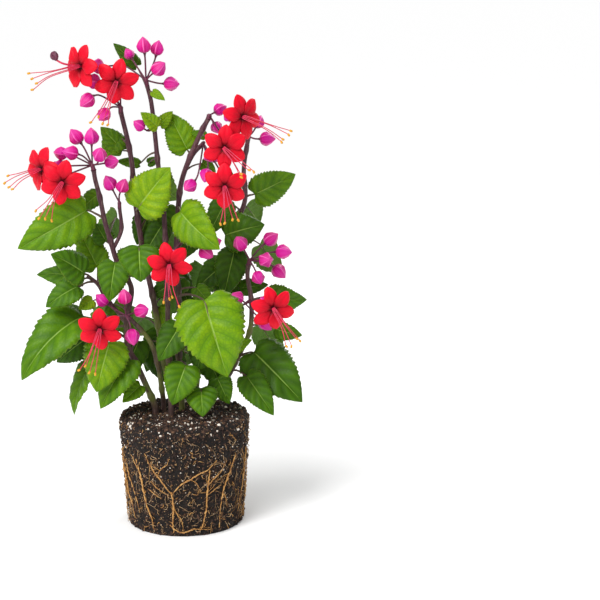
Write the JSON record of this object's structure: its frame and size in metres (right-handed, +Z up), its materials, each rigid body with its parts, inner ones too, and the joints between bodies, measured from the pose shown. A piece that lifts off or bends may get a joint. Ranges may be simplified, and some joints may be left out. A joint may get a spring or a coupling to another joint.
{
  "type": "bleeding heart vine on a bare root ball",
  "caption": "Flowering bleeding heart vine lifted from its pot: leafy woody stems with scarlet star flowers and magenta calyces, standing on its root ball.",
  "frame": {"origin": "centre of the root ball's flat underside", "axes": "+Z up along the stems, the flowering front of the plant towards -Y, +X to the viewer's right"},
  "size_m": [0.2566, 0.1379, 0.4261],
  "materials": {
    "soil": "matte",
    "bark": "satin",
    "leaf": "satin",
    "petal": "satin",
    "calyx": "satin"
  },
  "bodies": {
    "root": {"root_ball": "soil", "stem_a": "bark", "stem_b": "bark", "stem_c": "bark", "stem_d": "bark", "stem_e": "bark", "stem_e_back": "bark", "stem_f": "bark", "leaf_01": "leaf", "leaf_02": "leaf", "leaf_03": "leaf", "leaf_04": "leaf", "leaf_05": "leaf", "leaf_06": "leaf", "leaf_07": "leaf", "leaf_08": "leaf", "leaf_09": "leaf", "leaf_10": "leaf", "leaf_11": "leaf", "leaf_12": "leaf", "leaf_13": "leaf", "leaf_15": "leaf", "leaf_16": "leaf", "leaf_19": "leaf", "leaf_22": "leaf", "leaf_23": "leaf", "leaf_24": "leaf", "leaf_26": "leaf", "leaf_28": "leaf", "leaf_28b": "leaf", "leaf_29": "leaf", "leaf_31": "leaf", "leaf_32": "leaf", "leaf_33": "leaf", "leaf_34": "leaf", "leaf_35": "leaf", "bloom_01": "petal", "bloom_02": "petal", "bloom_03": "petal", "bloom_04": "petal", "bloom_05": "petal", "bloom_06": "petal", "bloom_07": "petal", "bloom_08": "petal", "bloom_09": "petal", "bloom_10": "petal", "spray_01": "calyx", "spray_02": "calyx", "spray_03": "calyx", "spray_04": "calyx", "spray_05": "calyx", "spray_06": "calyx", "spray_07": "calyx", "spray_08": "calyx", "spray_09": "calyx", "spray_10": "calyx", "spray_11": "calyx", "spray_12": "calyx"}
  },
  "joints": []
}
